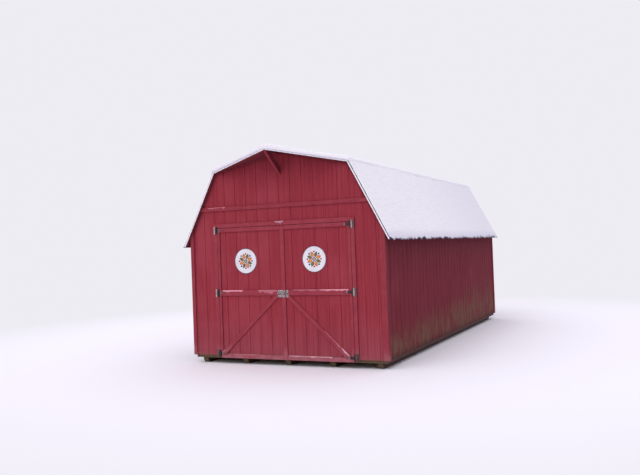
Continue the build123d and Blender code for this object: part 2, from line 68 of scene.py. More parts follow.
# Front wall and its boards
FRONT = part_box("front_wall_left")[0].y
BOARD = 19 * MM
SIDING = 16 * MM
HALF_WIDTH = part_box("back_wall")[1].x
WALL_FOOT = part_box("left_wall")[0].z
SHEET_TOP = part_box("back_wall")[1].z
STUD_PITCH = 0.6096


# Small tools

# the name of a material's main shader
MAIN = "Principled BSDF"


def linear(code):
    """The linear colour of an sRGB hex code such as 9a3543."""
    parts = [int(code[i:i + 2], 16) / 255 for i in (0, 2, 4)]
    return tuple(p / 12.92 if p <= 0.04045 else ((p + 0.055) / 1.055) ** 2.4 for p in parts) + (1.0,)


def add(tree, kind, put=None, stops=None, **settings):
    """A node of one kind with its settings; put gives each input a value or another node's output."""
    node = tree.nodes.new("ShaderNode" + kind)
    for name, value in settings.items():
        setattr(node, name, value)
    for key, value in (put or {}).items():
        if isinstance(value, bpy.types.NodeSocket):
            tree.links.new(value, node.inputs[key])
        else:
            node.inputs[key].default_value = value
    for i, (place, code) in enumerate(stops or []):
        ramp = node.color_ramp.elements
        element = ramp[i] if i < len(ramp) else ramp.new(place)
        element.position, element.color = place, linear(code)
    return node


def material(name, colour, rough, specular=0.5, **values):
    """A material with one main shader, and the point on the piece in metres in the model's frame."""
    made = bpy.data.materials.new(name)
    made.use_nodes = True
    made.diffuse_color = linear(colour)
    tree = made.node_tree
    tree.nodes.clear()
    put = {"Base Color": linear(colour), "Roughness": rough, "Specular IOR Level": specular}
    put.update({key.replace("_", " "): value for key, value in values.items()})
    shader = add(tree, "BsdfPrincipled", put)
    add(tree, "OutputMaterial", {"Surface": shader.outputs[0]})
    return made, tree, add(tree, "TexCoord").outputs["Object"]


def axes_of(tree, vector):
    """The X, Y and Z of a point or a direction."""
    return add(tree, "SeparateXYZ", {0: vector}).outputs


def turned_of(tree):
    """Which way the face is turned, in the piece's own axes, so that an open door keeps its looks."""
    return axes_of(tree, add(tree, "TexCoord").outputs["Normal"])


def pattern(tree, at, size, detail=2.0, roughness=0.5):
    """A soft random pattern whose patches are about size = (x, y, z) millimetres."""
    stretched = add(tree, "Mapping", {"Vector": at, "Scale": [1000 / s for s in size]})
    return add(tree, "TexNoise", {"Vector": stretched.outputs[0], "Scale": 1.0, "Detail": detail,
                                  "Roughness": roughness}).outputs["Fac"]


def between(tree, value, low, high, out_low=0.0, out_high=1.0):
    """The value brought from one range to another, held at its ends."""
    return add(tree, "MapRange", {0: value, 1: low, 2: high, 3: out_low, 4: out_high},
               interpolation_type="SMOOTHSTEP").outputs[0]


def blended(tree, share, first, second, how="MIX"):
    """Two colours mixed by a share; a text is a hex code."""
    pair = [linear(c) if isinstance(c, str) else c for c in (first, second)]
    return add(tree, "Mix", {"Factor": share, 6: pair[0], 7: pair[1]}, data_type="RGBA",
               blend_type=how).outputs[2]


def maths(tree, how, *values):
    """One step of arithmetic."""
    return add(tree, "Math", dict(enumerate(values)), operation=how).outputs[0]


def reckon(tree, how, first, second):
    """One step of arithmetic, held between 0 and 1."""
    return add(tree, "Math", {0: first, 1: second}, operation=how, use_clamp=True).outputs[0]


def times(tree, first, second):
    """Two shares multiplied."""
    return reckon(tree, "MULTIPLY", first, second)


def off_from(tree, value, level):
    """How far the value is from a level, either way."""
    return maths(tree, "ABSOLUTE", maths(tree, "SUBTRACT", value, level))


def shaded(tree, first, second, value, low, high, out_low=0.0, out_high=1.0):
    """The first colour, turning into the second as the value goes from low to high."""
    return blended(tree, between(tree, value, low, high, out_low, out_high), first, second)


def finished(made, skin, height, depth_mm):
    """The material with its colour, raised by a pattern up to a depth in millimetres."""
    tree = made.node_tree
    tree.links.new(skin, tree.nodes[MAIN].inputs["Base Color"])
    bump = add(tree, "Bump", {"Height": height, "Distance": depth_mm * MM, "Strength": 1.0})
    tree.links.new(bump.outputs[0], tree.nodes[MAIN].inputs["Normal"])
    return made


def tiles(tree, at, shade, joint, gap, wide, tall):
    """Tiles between white and a shade, with joints of their own colour."""
    return add(tree, "TexBrick", {"Vector": at, "Color1": linear("ffffff"), "Color2": linear(shade),
                                  "Mortar": linear(joint), "Scale": 1.0, "Mortar Size": gap,
                                  "Brick Width": wide, "Row Height": tall}).outputs["Color"]


# Materials

# how square to an axis a face is when it starts to count as turned that way, and when it fully does
TURNED = (0.8, 0.95)


def stained_plywood(name, tones, algae_top, algae_share, foot, roof_shade):
    """Rough-sawn plywood siding under solid red stain: matt, with raised upright grain and stain worn thin
    in streaks. Near its foot algae runs down the grain, and foot = (colour, share, height) is what splashes
    or freezes onto it, and on the sides also painted shade. roof_shade = (share, near, far) is painted
    shade on the wall close under the roof's edges."""
    made, tree, at = material(name, tones[1], 0.85, specular=0.12)
    xyz = axes_of(tree, at)
    # saw marks and fibres are 1 to 2 mm wide; drawn at 5 mm so that they show
    fibres = pattern(tree, at, (5, 5, 180), 3.0, 0.6)
    streaks = pattern(tree, at, (26, 26, 1100), 3.0, 0.65)
    patches = pattern(tree, at, (420, 420, 700), 3.0)
    stain = shaded(tree, tones[0], tones[1], streaks, 0.35, 0.65)
    stain = shaded(tree, stain, tones[2], patches, 0.45, 0.75, 0.0, 0.5)
    stain = shaded(tree, stain, tones[3], fibres, 0.3, 0.75, 0.0, 0.35)
    # the damp line climbs towards the back and breaks into runs
    runs = pattern(tree, at, (48, 48, 900), 4.0, 0.7)
    climb = between(tree, xyz["Y"], -3.6, 3.6, 0.75 * algae_top, 1.25 * algae_top)
    reach = maths(tree, "MULTIPLY", climb, maths(tree, "MULTIPLY_ADD", runs, 2.6, -0.3))
    height = maths(tree, "SUBTRACT", xyz["Z"], WALL_FOOT)
    above = maths(tree, "DIVIDE", height, reach)
    blots = pattern(tree, at, (120, 120, 300), 3.0, 0.6)
    damp = times(tree, between(tree, above, 0.3, 1.2, algae_share, 0.0),
                 between(tree, blots, 0.38, 0.58, 0.25, 1.0))
    green = shaded(tree, "6f4d44", "766349", runs, 0.35, 0.65)
    skin = blended(tree, damp, stain, green)
    colour, share, top = foot
    # the foot's tint: frost on the front, and on the sides splashed dirt darkened with painted shade
    foot_tint_and_shade = times(tree, between(tree, height, 0.0, top, share, 0.0),
                   between(tree, streaks, 0.3, 0.6, 0.6, 1.0))
    skin = blended(tree, foot_tint_and_shade, skin, colour)
    wide = maths(tree, "ABSOLUTE", xyz["X"])
    gaps = []
    for point, slope in (((EAVE_X, EAVE_Z), LOWER_SLOPE), ((0.0, RIDGE_Z), UPPER_SLOPE)):
        reach = point[0] * math.sin(slope) + point[1] * math.cos(slope)
        across = maths(tree, "MULTIPLY_ADD", wide, -math.sin(slope), reach)
        gaps.append(maths(tree, "MULTIPLY_ADD", xyz["Z"], -math.cos(slope), across))
    below_roof = maths(tree, "MINIMUM", *gaps)
    share, near, far = roof_shade
    # painted shade on the wall close under the roof's edges
    skin = shaded(tree, skin, "3c1420", below_roof, near, far, share, 0.0)
    # the inner face was never stained
    wood = shaded(tree, "b08b60", "bf9c70", streaks, 0.35, 0.65)
    wood = shaded(tree, wood, "94714a", fibres, 0.35, 0.7, 0.0, 0.6)
    deep = maths(tree, "ABSOLUTE", xyz["Y"])
    inner = times(tree, reckon(tree, "LESS_THAN", wide, HALF_WIDTH - SIDING + 0.5 * MM),
                  reckon(tree, "LESS_THAN", deep, -FRONT - SIDING + 0.5 * MM))
    skin = blended(tree, inner, skin, wood)
    return finished(made, skin, fibres, 1.2)


def painted_boards(name, tones, level, edge_shade=("4d121e", 0.8)):
    """Planed softwood boards under the same red stain, a little smoother than the plywood. level lists
    (middle, half height) of the boards that lie level, whose grain runs along X. edge_shade is the colour
    and share of painted shade on the edges turned to left and right."""
    made, tree, at = material(name, tones[1], 0.75, specular=0.14)
    xyz = axes_of(tree, at)
    upright = pattern(tree, at, (6, 6, 220), 3.0, 0.6)
    along = pattern(tree, at, (220, 6, 6), 3.0, 0.6)
    lies = 0.0
    for middle, half in level:
        inside = reckon(tree, "LESS_THAN", off_from(tree, xyz["Z"], middle), half)
        lies = reckon(tree, "MAXIMUM", inside, lies)
    grain = add(tree, "Mix", {"Factor": lies, 2: upright, 3: along}).outputs[0]
    wear = pattern(tree, at, (160, 160, 160), 4.0, 0.6)
    skin = shaded(tree, tones[0], tones[1], grain, 0.3, 0.7)
    skin = shaded(tree, skin, tones[2], wear, 0.5, 0.8, 0.0, 0.5)
    skin = shaded(tree, skin, "6c2430", wear, 0.25, 0.45, 0.4, 0.0)
    normal = turned_of(tree)
    facing = maths(tree, "ABSOLUTE", normal["X"])
    level_face = maths(tree, "ABSOLUTE", normal["Z"])
    # painted light on the edges inside the gaps round the doors and at their meeting
    away = 1.0
    for gap in (PIN_LEFT, PIN_RIGHT, MEETING):
        away = times(tree, between(tree, off_from(tree, xyz["X"], gap), 8 * MM, 14 * MM), away)
    turned = between(tree, facing, *TURNED)
    # painted shade on the edges turned to left and right, except inside the door gaps
    skin = blended(tree, times(tree, turned, times(tree, away, edge_shade[1])), skin, edge_shade[0])
    gap_light = maths(tree, "SUBTRACT", 1.0, away)
    skin = blended(tree, times(tree, turned, gap_light), skin, "c4566a")
    # painted light on the level faces in the gap over the doors
    over = between(tree, off_from(tree, xyz["Z"], DOOR_HIGH + DOOR_GAP), 8 * MM, 12 * MM, 1.0, 0.0)
    over = times(tree, over, between(tree, level_face, *TURNED))
    skin = blended(tree, over, skin, "d2697c")
    # frost whitens their feet
    frost = times(tree, between(tree, xyz["Z"], 0.1, 0.35, 0.34, 0.0),
                  between(tree, wear, 0.35, 0.6, 0.5, 1.0))
    skin = blended(tree, frost, skin, "b58f99")
    return finished(made, skin, grain, 0.6)


def softwood(name, along, pale, dark):
    """Sawn spruce left bare: pale wood with darker late-wood stripes along the piece. Its front faces
    behind the doors' gaps have a first thin coat of the stain."""
    made, tree, at = material(name, pale, 0.7, specular=0.3)
    across = [420 if axis == along else 7 for axis in "XYZ"]
    rings = pattern(tree, at, across, 3.0, 0.6)
    wide = pattern(tree, at, [6 * s if s < 100 else 1.5 * s for s in across], 2.0)
    skin = shaded(tree, pale, dark, rings, 0.35, 0.65)
    skin = shaded(tree, skin, dark, wide, 0.4, 0.7, 0.0, 0.4)
    facing = turned_of(tree)["Y"]
    depth = axes_of(tree, at)["Y"]
    coat = times(tree, between(tree, facing, -0.9, -0.8, 1.0, 0.0),
                 between(tree, depth, FRONT + 30 * MM, FRONT + 40 * MM, 1.0, 0.0))
    skin = blended(tree, coat, skin, "c98f8c")
    return finished(made, skin, rings, 0.5)


def treated_timber(name, along):
    """Pressure-treated softwood: brown-green, wet and dirty."""
    made, tree, at = material(name, "5a4f3a", 0.75, specular=0.35)
    across = [380 if axis == along else 8 for axis in "XYZ"]
    grain = pattern(tree, at, across, 3.0, 0.6)
    blots = pattern(tree, at, (150, 150, 60), 4.0, 0.6)
    skin = shaded(tree, "4c3d2c", "6d5a42", grain, 0.3, 0.7)
    skin = shaded(tree, skin, "4b4f30", blots, 0.42, 0.7, 0.0, 0.7)
    skin = shaded(tree, skin, "2b221b", blots, 0.2, 0.4, 0.6, 0.0)
    # the long faces turned left and right take the walls' stain, darkened with painted shade
    facing = maths(tree, "ABSOLUTE", turned_of(tree)["X"])
    skin = shaded(tree, skin, "4b2b31", facing, *TURNED, 0.0, 0.85)
    return finished(made, skin, grain, 0.8)


def strand_board(name):
    """Oriented strand board: flat flakes of wood 20 to 80 mm long. Where it sticks out past the walls its
    underside has the walls' red stain."""
    made, tree, at = material(name, "9a7b52", 0.7, specular=0.3)
    xyz = axes_of(tree, at)
    spread = add(tree, "Mapping", {"Vector": at, "Scale": [1000 / 26, 1000 / 60, 1000 / 26]})
    flakes = add(tree, "TexVoronoi", {"Vector": spread.outputs[0], "Scale": 1.0, "Randomness": 1.0})
    shade = add(tree, "ValToRGB", {0: flakes.outputs["Color"]},
                stops=[(0.0, "7d5f3b"), (0.5, "a5855a"), (1.0, "c3a679")])
    rough = pattern(tree, at, (6, 30, 6), 3.0)
    past_front = between(tree, xyz["Y"], FRONT + 4 * MM, FRONT)
    past_back = between(tree, xyz["Y"], -FRONT - 4 * MM, -FRONT)
    wide = maths(tree, "ABSOLUTE", xyz["X"])
    past_side = between(tree, wide, HALF_WIDTH - 4 * MM, HALF_WIDTH)
    outside = reckon(tree, "MAXIMUM", reckon(tree, "MAXIMUM", past_front, past_back), past_side)
    stain = shaded(tree, "6d2733", "83323d", rough, 0.3, 0.7)
    skin = blended(tree, outside, shade.outputs[0], stain)
    return finished(made, skin, flakes.outputs["Distance"], 0.8)


def floor_plywood(name):
    """Fir plywood floor in 1.22 by 2.44 m sheets: long grain, tight joints, foot-worn."""
    made, tree, at = material(name, "a5855c", 0.65, specular=0.3)
    grain = pattern(tree, at, (9, 500, 9), 3.0, 0.6)
    worn = pattern(tree, at, (600, 900, 600), 3.0)
    sheets = tiles(tree, at, "ececec", "555555", 1.5 * MM, 1.2192, 2.4384)
    skin = shaded(tree, "8f6f48", "b3936a", grain, 0.35, 0.65)
    skin = shaded(tree, skin, "7d6a52", worn, 0.45, 0.75, 0.0, 0.5)
    skin = blended(tree, 1.0, skin, sheets, "MULTIPLY")
    return finished(made, skin, grain, 0.4)


def asphalt_shingles(name, slope, row):
    """Three-tab asphalt shingles: stone granules in bitumen, near black with blue, a slot between tabs."""
    made, tree, at = material(name, "2c2f3b", 0.9, specular=0.25)
    xyz = axes_of(tree, at)
    # distance up the slope, from the height
    up = maths(tree, "MULTIPLY", xyz["Z"], 1 / math.sin(slope))
    flat = add(tree, "CombineXYZ", {0: xyz["Y"], 1: up})
    tabs = tiles(tree, flat.outputs[0], "c9c9d2", "202020", 4 * MM, 0.305, row)
    # granules are 1 to 2 mm; drawn at 4 mm
    grit = pattern(tree, at, (4, 4, 4), 2.0, 0.7)
    skin = shaded(tree, "2a2838", "504e62", grit, 0.35, 0.65)
    skin = blended(tree, 1.0, skin, tabs, "MULTIPLY")
    return finished(made, skin, grit, 1.0)


def coated_aluminium(name):
    """Roof-edge trim: thin aluminium with white baked paint, smooth, with faint grey run-off."""
    made, tree, at = material(name, "f1eef4", 0.38)
    runs = pattern(tree, at, (40, 40, 160), 4.0, 0.6)
    skin = shaded(tree, "f3f0f6", "cfc9d2", runs, 0.45, 0.75, 0.0, 0.6)
    return finished(made, skin, runs, 0.15)


def weathered_steel(name):
    """Pressed steel hinges: pale worn zinc and a painted highlight on the post's plate, dark rust and old
    grease round the pin, and the strap brushed over with the walls' stain towards its tip."""
    made, tree, at = material(name, "55494b", 0.6, Metallic=0.1, specular=0.3)
    xyz = axes_of(tree, at)
    # distance from the pin, below zero on the door's side of it
    wide = maths(tree, "ABSOLUTE", xyz["X"])
    is_right = reckon(tree, "GREATER_THAN", xyz["X"], 0.0)
    pin = add(tree, "Mix", {"Factor": is_right, 2: -PIN_LEFT, 3: PIN_RIGHT}).outputs[0]
    beyond = maths(tree, "SUBTRACT", wide, pin)
    rust = pattern(tree, at, (22, 22, 22), 4.0, 0.65)
    skin = shaded(tree, "22171a", "442b2e", rust, 0.35, 0.6)
    # the right plates are pale beside the pin and the left ones along their outer edge: worn zinc and a
    # painted highlight
    edge = maths(tree, "MULTIPLY_ADD", is_right, 27 * MM, beyond)
    pale = times(tree, between(tree, edge, 33 * MM, 40 * MM),
                 between(tree, edge, 57 * MM, 66 * MM, 1.0, 0.15))
    pale = times(tree, pale, between(tree, rust, 0.32, 0.55, 0.35, 1.0))
    # the painted highlight is dimmer on the lowest hinge
    pale = times(tree, pale, between(tree, xyz["Z"], 0.3, 0.6, 0.2, 1.0))
    skin = blended(tree, pale, skin, "bba5a4")
    # the left straps are stained over from close to the pin
    cover = maths(tree, "MULTIPLY_ADD", is_right, 60 * MM, beyond)
    stained = times(tree, between(tree, cover, -56 * MM, -34 * MM, 1.0, 0.0),
                    between(tree, rust, 0.35, 0.55, 0.8, 1.0))
    skin = blended(tree, stained, skin, "883540")
    # and show a bare spot just before that
    bare = times(tree, between(tree, cover, -52 * MM, -40 * MM),
                 between(tree, cover, -26 * MM, -18 * MM, 1.0, 0.0))
    skin = blended(tree, times(tree, bare, 0.55), skin, "a88a8d")
    tree.links.new(between(tree, rust, 0.3, 0.7, 0.45, 0.8), tree.nodes[MAIN].inputs["Roughness"])
    return finished(made, skin, rust, 0.5)


def galvanised_steel(name):
    """Hot-dipped zinc on steel: warm grey with crystal spangles, rust specks and a little white bloom."""
    made, tree, at = material(name, "8d8c89", 0.5, Metallic=0.4)
    spread = add(tree, "Mapping", {"Vector": at, "Scale": [1000 / 12] * 3})
    spangle = add(tree, "TexVoronoi", {"Vector": spread.outputs[0], "Scale": 1.0})
    shade = add(tree, "ValToRGB", {0: spangle.outputs["Color"]},
                stops=[(0.0, "6b5d5f"), (0.6, "a19496"), (1.0, "cbc1c4")])
    bloom = pattern(tree, at, (25, 25, 25), 4.0)
    skin = shaded(tree, shade.outputs[0], "6b4a48", bloom, 0.48, 0.66, 0.0, 0.8)
    skin = shaded(tree, skin, "c9c4bf", bloom, 0.25, 0.42, 0.7, 0.0)
    return finished(made, skin, bloom, 0.3)


def enamel(name, colour, shade):
    """Baked enamel on a steel sign: smooth, faintly chalky where the weather has dulled it."""
    made, tree, at = material(name, colour, 0.32, Coat_Weight=0.25, Coat_Roughness=0.2)
    chalk = pattern(tree, at, (90, 90, 140), 4.0, 0.6)
    skin = shaded(tree, colour, shade, chalk, 0.4, 0.75, 0.0, 0.7)
    return finished(made, skin, chalk, 0.1)


def fresh_snow(name, tone, shade, greyed_below=0.0):
    """Settled snow: almost white with a cold violet cast, matt, combed by the wind along the roof. Its
    rolled lips and their undersides have painted shade, and it turns greyer below the height greyed_below."""
    made, tree, at = material(name, tone, 0.9, specular=0.1)
    crumbs = pattern(tree, at, (9, 9, 9), 3.0, 0.7)
    combed = pattern(tree, at, (20, 260, 20), 3.0, 0.6)
    skin = shaded(tree, shade, tone, combed, 0.3, 0.6)
    skin = shaded(tree, skin, "dcd8e8", crumbs, 0.25, 0.45, 0.15, 0.0)
    xyz = axes_of(tree, at)
    normal = turned_of(tree)
    rise = xyz["Z"]
    # painted shade on the rolled lip at the ends of the flat slopes, more to the left of the crest
    facing = maths(tree, "ABSOLUTE", normal["Y"])
    lip = times(tree, between(tree, facing, 0.3, 0.6),
                between(tree, rise, BREAK_Z - 60 * MM, BREAK_Z - 10 * MM))
    lip_shade = times(tree, lip, between(tree, xyz["X"], -0.6, 0.3, 0.42, 0.25))
    skin = blended(tree, lip_shade, skin, "c8bcc6")
    # painted shade on the lip's underside
    under = times(tree, lip, between(tree, normal["Z"], -0.5, 0.2, 0.55, 0.0))
    skin = blended(tree, under, skin, "b3abc6")
    # painted shade: greyer towards the far end
    skin = shaded(tree, skin, "dcdaea", xyz["Y"], -2.0, 3.7, 0.0, 0.4)
    # greyer and bluer below greyed_below, darkest at the eave's foot
    skin = shaded(tree, skin, "c6c0d6", rise, greyed_below, greyed_below + 170 * MM, 0.4, 0.0)
    skin = shaded(tree, skin, "82779a", rise, greyed_below - 45 * MM, greyed_below - 10 * MM, 0.7, 0.0)
    height = maths(tree, "MULTIPLY_ADD", combed, 0.8, crumbs)
    return finished(made, skin, height, 0.8)


def painted_steel(name, colour):
    """Zinc-plated screw heads, brushed over with the boards' stain."""
    made, tree, at = material(name, colour, 0.5, Metallic=0.2)
    worn = pattern(tree, at, (3, 3, 3), 2.0)
    skin = shaded(tree, colour, "6d6263", worn, 0.45, 0.7, 0.0, 0.7)
    return finished(made, skin, worn, 0.1)


DOOR_LOW, DOOR_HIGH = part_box("left_door_panel")[0].z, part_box("left_door_panel")[1].z
DOOR_GAP = 4 * MM
PIN_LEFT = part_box("left_door_panel")[0].x - DOOR_GAP
PIN_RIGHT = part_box("right_door_panel")[1].x + DOOR_GAP
MEETING = (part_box("left_door_trim")[1].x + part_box("right_door_trim")[0].x) / 2
# the middle rail's level, and half the width of the foot rail, the middle rail and the other boards
MID_RAIL = DOOR_LOW + 1.062
FOOT_HALF, WIDE_HALF, NARROW_HALF = 34.5 * MM, 44.5 * MM, 32 * MM
RAIL_LEVELS = ((DOOR_LOW + FOOT_HALF, FOOT_HALF), (MID_RAIL, WIDE_HALF),
               (DOOR_HIGH - NARROW_HALF, NARROW_HALF))
HEADER_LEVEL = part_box("doorway_trim")[1].z - NARROW_HALF
GABLE_TRIM_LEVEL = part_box("gable_trim")[1].z - NARROW_HALF

FRONT_TONES = ("8e2f3b", "9b3843", "a54552", "7a2631")
# the sides' tones are darker than the front's: partly weathered stain, partly painted shade
SIDE_TONES_SHADED = ("70222f", "7b2d3a", "853744", "5c1d29")
BOARD_TONES = ("87303c", "963a45", "a14a55")
DOOR_BOARD_TONES = ("8d333f", "9b3e49", "a8525e")
front_siding = stained_plywood("stained_plywood_front", FRONT_TONES, 0.08, 0.4, ("9c6f78", 0.18, 0.8),
                               (0.35, 0.02, 0.08))
side_siding = stained_plywood("stained_plywood_sides", SIDE_TONES_SHADED, 0.6, 0.7, ("3f2626", 0.6, 0.12),
                              (0.2, 0.1, 0.45))
door_boards = painted_boards("painted_door_boards", DOOR_BOARD_TONES, RAIL_LEVELS)
doorway_boards = painted_boards("painted_doorway_boards", DOOR_BOARD_TONES, ((HEADER_LEVEL, NARROW_HALF),))
gable_boards = painted_boards("painted_gable_boards", BOARD_TONES, ((GABLE_TRIM_LEVEL, NARROW_HALF),))
# the corner boards' edges turned left and right get painted shade in the side walls' darker tone
corner_boards = painted_boards("painted_corner_boards", BOARD_TONES, (), ("5c1f2b", 0.6))
studs_z = softwood("spruce_upright", "Z", "c9a878", "a9824f")
studs_y = softwood("spruce_lengthwise", "Y", "c6a473", "a57e4c")
studs_x = softwood("spruce_crosswise", "X", "c4a170", "a27b49")
zinc = galvanised_steel("galvanised_steel")
hinge_steel = weathered_steel("weathered_hinge_steel")
snow = fresh_snow("settled_snow", "faf8fd", "f3f0f8", 1.96)
foot_frost = fresh_snow("frost_on_the_foot_rail", "d9a6b3", "c892a0")
rail_frost = fresh_snow("frost_on_the_rails", "dd92a2", "cd8292")
frost_film = fresh_snow("worn_frost", "bb6c79", "aa5c69")
header_frost = fresh_snow("frost_over_the_doors", "b68d97", "a87f8a")
screw_red = painted_steel("stained_screw_heads", "7d3742")
screw_grey = painted_steel("grey_screw_heads", "4b4446")

finishes = (
    (treated_timber("treated_runners", "Y"), "runners"),
    (treated_timber("treated_rim", "Y"), "rim_joists"),
    (treated_timber("treated_joists", "X"), "floor_joists"),
    (floor_plywood("fir_plywood_floor"), "floor_deck"),
    (side_siding, "left_wall right_wall back_wall back_gable"),
    (front_siding, "front_wall_left front_wall_right front_wall_over_doors front_gable"),
    (front_siding, "left_door_panel right_door_panel"),
    (studs_z, "side_wall_studs end_wall_studs lower_rafters left_door_frame right_door_frame"),
    (studs_y, "wall_plates"),
    (studs_x, "door_header upper_rafters"),
    (corner_boards, "corner_boards ridge_board prow_brace"),
    (doorway_boards, "doorway_trim"),
    (gable_boards, "gable_trim"),
    (door_boards, "left_door_trim right_door_trim"),
    (strand_board("strand_board"), "lower_roof_deck upper_roof_deck rafter_gussets"),
    (asphalt_shingles("asphalt_shingles_steep", LOWER_SLOPE, LOWER_LENGTH / LOWER_COURSES),
     "lower_shingles"),
    (asphalt_shingles("asphalt_shingles_flat", UPPER_SLOPE, UPPER_LENGTH / UPPER_COURSES),
     "upper_shingles ridge_cap"),
    (coated_aluminium("coated_aluminium"), "front_drip_edge back_drip_edge"),
    (hinge_steel, "hinge_plates left_door_straps right_door_straps"),
    (zinc, "latch_bolt latch_keeper"),
    (enamel("white_enamel", "e4e1e8", "cfc9d2"), "left_door_sign right_door_sign"),
)
for finish, names in finishes:
    for name in names.split():
        nodes[name].data.materials.clear()
        nodes[name].data.materials.append(finish)


# Mesh tools

def linked(name, data):
    """A new object in the scene."""
    made = bpy.data.objects.new(name, data)
    bpy.context.scene.collection.objects.link(made)
    return made


def piece(name, body, shape, finish, smooth=True):
    """A new piece that rides on a body, made of a bmesh, which is freed."""
    bmesh.ops.recalc_face_normals(shape, faces=shape.faces)
    mesh = bpy.data.meshes.new(name)
    shape.to_mesh(mesh)
    shape.free()
    for one in finish if isinstance(finish, list) else [finish]:
        mesh.materials.append(one)
    mesh.polygons.foreach_set("use_smooth", [smooth] * len(mesh.polygons))
    made = linked(name, mesh)
    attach(made, body)
    return made


def blanket(name, tops, bottoms, body="building", finish=snow):
    """A closed snow mesh from a grid of top points and the same grid of bottom points."""
    rows, columns = len(tops), len(tops[0])
    points = [p for grid in (tops, bottoms) for row in grid for p in row]
    under = rows * columns

    def at(i, j):
        return i * columns + j

    faces = []
    for i in range(rows - 1):
        for j in range(columns - 1):
            quad = (at(i, j), at(i, j + 1), at(i + 1, j + 1), at(i + 1, j))
            faces.append(quad)
            faces.append(tuple(under + k for k in reversed(quad)))
    rim = [at(0, j) for j in range(columns)] + [at(i, columns - 1) for i in range(1, rows)]
    rim += [at(rows - 1, j) for j in range(columns - 2, -1, -1)]
    rim += [at(i, 0) for i in range(rows - 2, 0, -1)]
    for here, after in zip(rim, rim[1:] + rim[:1]):
        faces.append((after, here, under + here, under + after))
    shape = bmesh.new()
    corners = [shape.verts.new(p) for p in points]
    for face in faces:
        shape.faces.new([corners[k] for k in face])
    return piece(name, body, shape, finish)


def spaced(first, last, pitch):
    """Even positions from first to last, about a pitch apart."""
    count = max(1, round((last - first) / pitch))
    return [first + (last - first) * i / count for i in range(count + 1)]


def edged(first, last, count, rings):
    """Positions from end to end in count even steps, crowded at both ends by the ring distances."""
    start, end = first + rings[-1], last - rings[-1]
    inner = [start + (end - start) * i / count for i in range(count + 1)]
    return [first + r for r in rings[:-1]] + inner + [last - r for r in reversed(rings[:-1])]


def ripple(seed, x, x_size, y=0.0, y_size=1.0):
    """A smooth random value from -1 to 1 whose waves have their own length each way."""
    return noise.noise(Vector((x / x_size, y / y_size, 7.3 * seed)))


def rounded(distance, reach):
    """A quarter round: 0 at an edge and 1 further in than reach."""
    if distance >= reach:
        return 1.0
    return math.sqrt(max(0.0, 1 - (1 - distance / reach) ** 2))


# Snow on the roof

# depth, rounding, laps over each edge, and how low the underside lies
SNOW_DEPTH = 36 * MM
SNOW_LIP = 30 * MM
SNOW_ROLL = 75 * MM
SNOW_LAP = 17 * MM
SNOW_SUNK = 17 * MM
SIDE_LAP = 26 * MM
EAVE_LAP = 21 * MM
CREST_ROUND = 0.07
EAVE_WEAR = 0.09
TOOTH = 48 * MM
EDGE_RINGS = [0.0, 2 * MM, 6 * MM, 12 * MM, 24 * MM, 40 * MM]


def roof_surface(x):
    """Height of the upper shingles over x."""
    return RIDGE_Z - abs(x) * math.tan(UPPER_SLOPE) + (DECK + SHINGLE_BUTT) / math.cos(UPPER_SLOPE)


def upper_snow():
    """The thick layer on the two flat slopes, lapping over the metal edge, with rolled edges and a soft
    crest."""
    half = BREAK_X + SIDE_LAP
    tops, bottoms = [], []
    for x in edged(-half, half, count=66, rings=EDGE_RINGS):
        crest = math.sqrt(x * x + CREST_ROUND ** 2) - CREST_ROUND
        share = min(abs(x), BREAK_X) / BREAK_X
        reach = ROOF_END + SNOW_LAP
        start = -reach - PROW_REACH * (1 - share) + 4 * MM * ripple(1, x, 0.14)
        end = reach + 4 * MM * ripple(2, x, 0.14)
        top_row, bottom_row = [], []
        for y in edged(start, end, count=170, rings=EDGE_RINGS):
            inside = min(y - start, end - y)
            roll = rounded(half - abs(x), SNOW_ROLL)
            deep = SNOW_DEPTH + 8 * MM * ripple(3, x, 0.9, y, 0.9) + 4 * MM * ripple(4, x, 0.2, y, 0.2)
            deep += 18 * MM * math.exp(-((y + ROOF_END + PROW_REACH) / 0.12) ** 2)
            deep += 14 * MM * math.exp(-((BREAK_X - abs(x)) / 0.15) ** 2)
            deep += 1.5 * MM * ripple(5, x, 0.05, y, 0.05)
            drop = 12 * MM * (1 - min(roll, rounded(inside, 12 * MM)))
            top_row.append((x, y, roof_surface(crest) + deep * min(roll, rounded(inside, SNOW_LIP)) - drop))
            bottom_row.append((x, y, roof_surface(x) - SNOW_SUNK))
        tops.append(top_row)
        bottoms.append(bottom_row)
    return blanket("roof_snow_upper", tops, bottoms)


def slope_point(side, y, out, along):
    """A point off the steep slope: out from the deck's underside and along it down from the break."""
    sin, cos = math.sin(LOWER_SLOPE), math.cos(LOWER_SLOPE)
    return side * (BREAK_X + cos * along + out * sin), y, BREAK_Z - sin * along + out * cos


